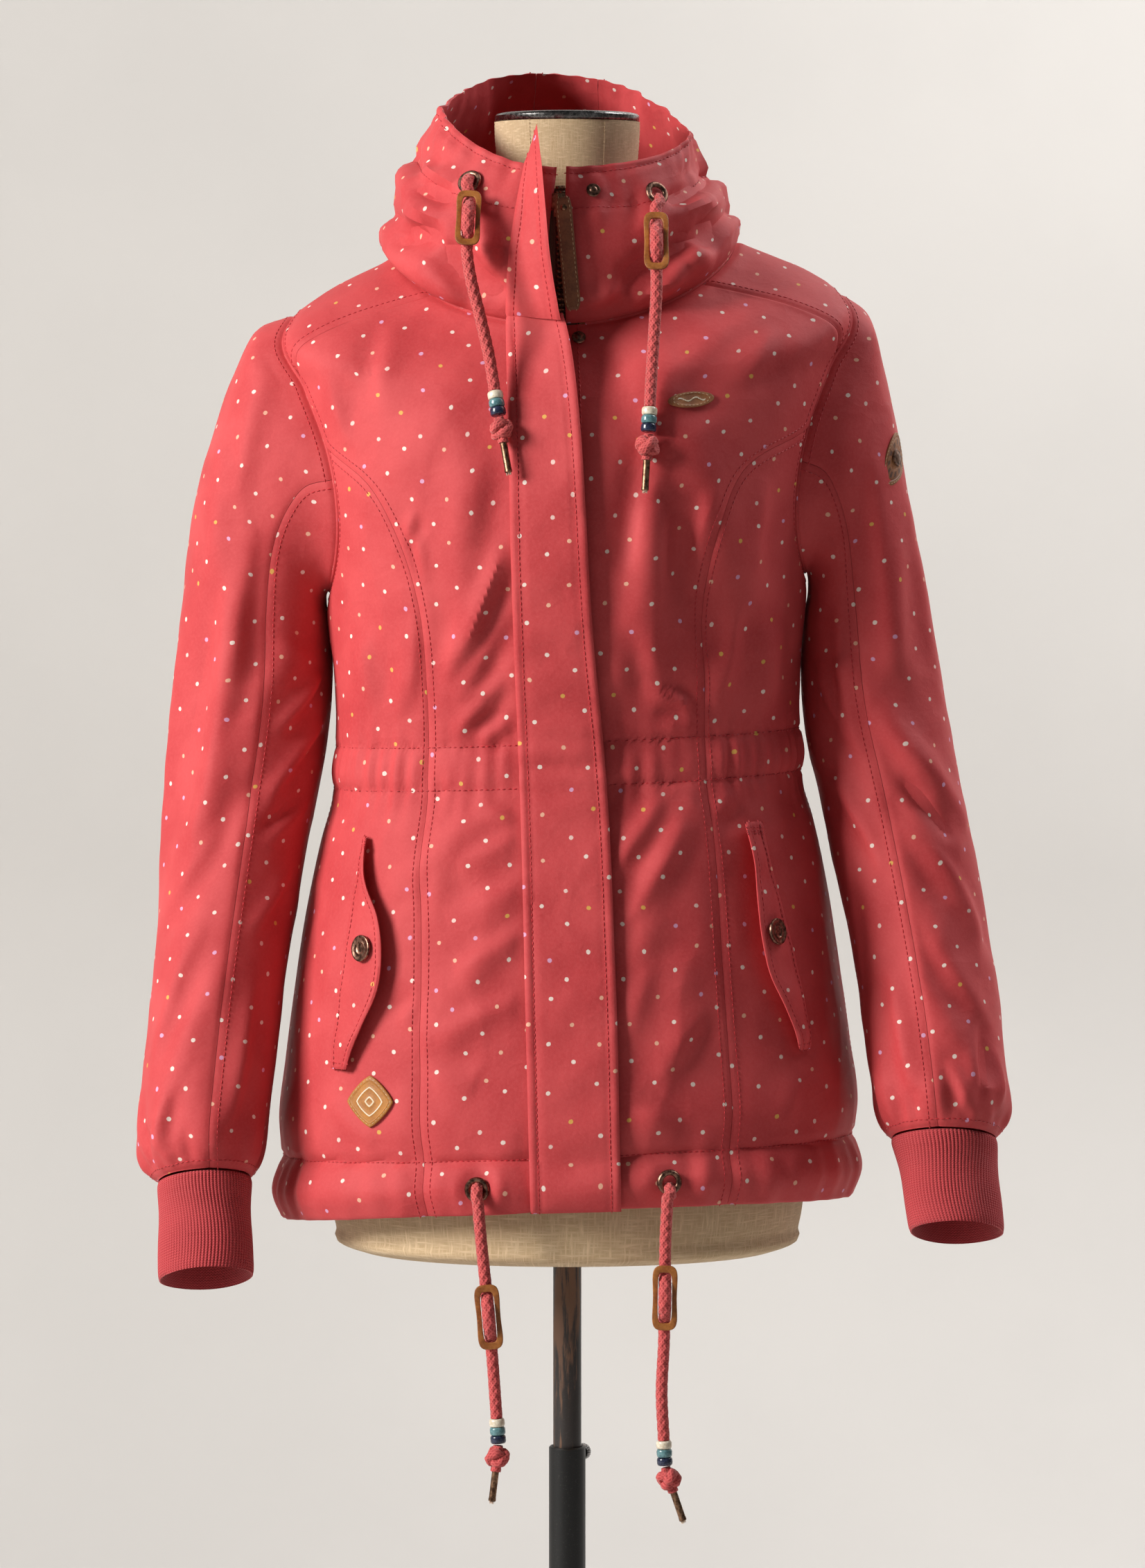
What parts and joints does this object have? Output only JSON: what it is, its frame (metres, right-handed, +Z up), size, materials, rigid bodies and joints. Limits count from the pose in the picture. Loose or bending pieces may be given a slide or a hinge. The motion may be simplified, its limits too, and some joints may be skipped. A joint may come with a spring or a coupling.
{
  "type": "women's hooded parka on a limbless dress form with a stand",
  "caption": "Women's short padded parka with a dotted red shell, large hood, storm flap over the zip, drawcords and rib cuffs, on a linen dress form with a round-based stand.",
  "frame": {"origin": "centre of the underside of the stand's round base, on the floor", "axes": "+Z up; -Y is the front of the coat, where its zip is; +X is the wearer's left"},
  "size_m": [0.6555, 0.4051, 1.5888],
  "materials": {
    "cloth": "coral red padded cotton with small pale dots",
    "rib": "plain red rib knit",
    "cord": "coral braided cord",
    "leather": "tan leather",
    "copper": "antique copper",
    "beads": "painted beads in cream, teal and navy",
    "zip_metal": "dark bronze",
    "tape": "brown zip tape",
    "linen": "natural linen",
    "steel": "bright",
    "worn_paint": "black paint worn to brown",
    "black_paint": "black paint"
  },
  "bodies": {
    "stand": {"base": "black_paint", "outer_tube": "black_paint"},
    "mast": {"inner_pole": "worn_paint"},
    "figure": {"back": "cloth", "beads_collar_left": "beads", "beads_collar_right": "beads", "beads_hem_left": "beads", "beads_hem_right": "beads", "cord_collar_left": "cord", "cord_collar_right": "cord", "cord_end_collar_left": "copper", "cord_end_collar_right": "copper", "cord_end_hem_left": "copper", "cord_end_hem_right": "copper", "cord_hem_left": "cord", "cord_hem_right": "cord", "cuff_left": "rib", "cuff_right": "rib", "dress_form": "linen", "eyelet_collar_left": "copper", "eyelet_collar_right": "copper", "eyelet_hem_left": "copper", "eyelet_hem_right": "copper", "front_left": "cloth", "front_right": "cloth", "hood_centre": "cloth", "hood_left": "cloth", "hood_right": "cloth", "neck_cap": "steel", "patch_chest": "leather", "patch_hem": "leather", "patch_sleeve": "leather", "pocket_flap_left": "cloth", "pocket_flap_right": "cloth", "side_back_left": "cloth", "side_back_right": "cloth", "side_front_left": "cloth", "side_front_right": "cloth", "sleeve_top_left": "cloth", "sleeve_top_right": "cloth", "sleeve_under_left": "cloth", "sleeve_under_right": "cloth", "snap_pocket_left": "copper", "snap_pocket_right": "copper", "storm_flap": "cloth", "stud_chest": "copper", "stud_collar": "copper", "toggle_collar_left": "leather", "toggle_collar_right": "leather", "toggle_hem_left": "leather", "toggle_hem_right": "leather", "yoke_left": "cloth", "yoke_right": "cloth", "zip_slider": "zip_metal", "zip_tape": "tape"},
    "pull": {"zip_pull": "leather"},
    "clamp": {"clamp_screw": "steel"}
  },
  "joints": [
    {"name": "mast_slide", "type": "slide", "parent": "stand", "child": "mast", "axis": [0, 0, 1], "range_m": [-0.12, 0.2]},
    {"name": "form_swivel", "type": "hinge", "parent": "mast", "child": "figure", "pos_m": [0, 0, 0.69], "axis": [0, 0, 1], "continuous": true},
    {"name": "zip_pull_hinge", "type": "hinge", "parent": "figure", "child": "pull", "pos_m": [-0.003, -0.119, 1.479], "axis": [-1, 0, 0], "range_deg": [0, 110]},
    {"name": "clamp_turn", "type": "hinge", "parent": "stand", "child": "clamp", "pos_m": [0.0076, 0.0121, 0.5285], "axis": [0.5299, 0.848, 0], "continuous": true}
  ]
}
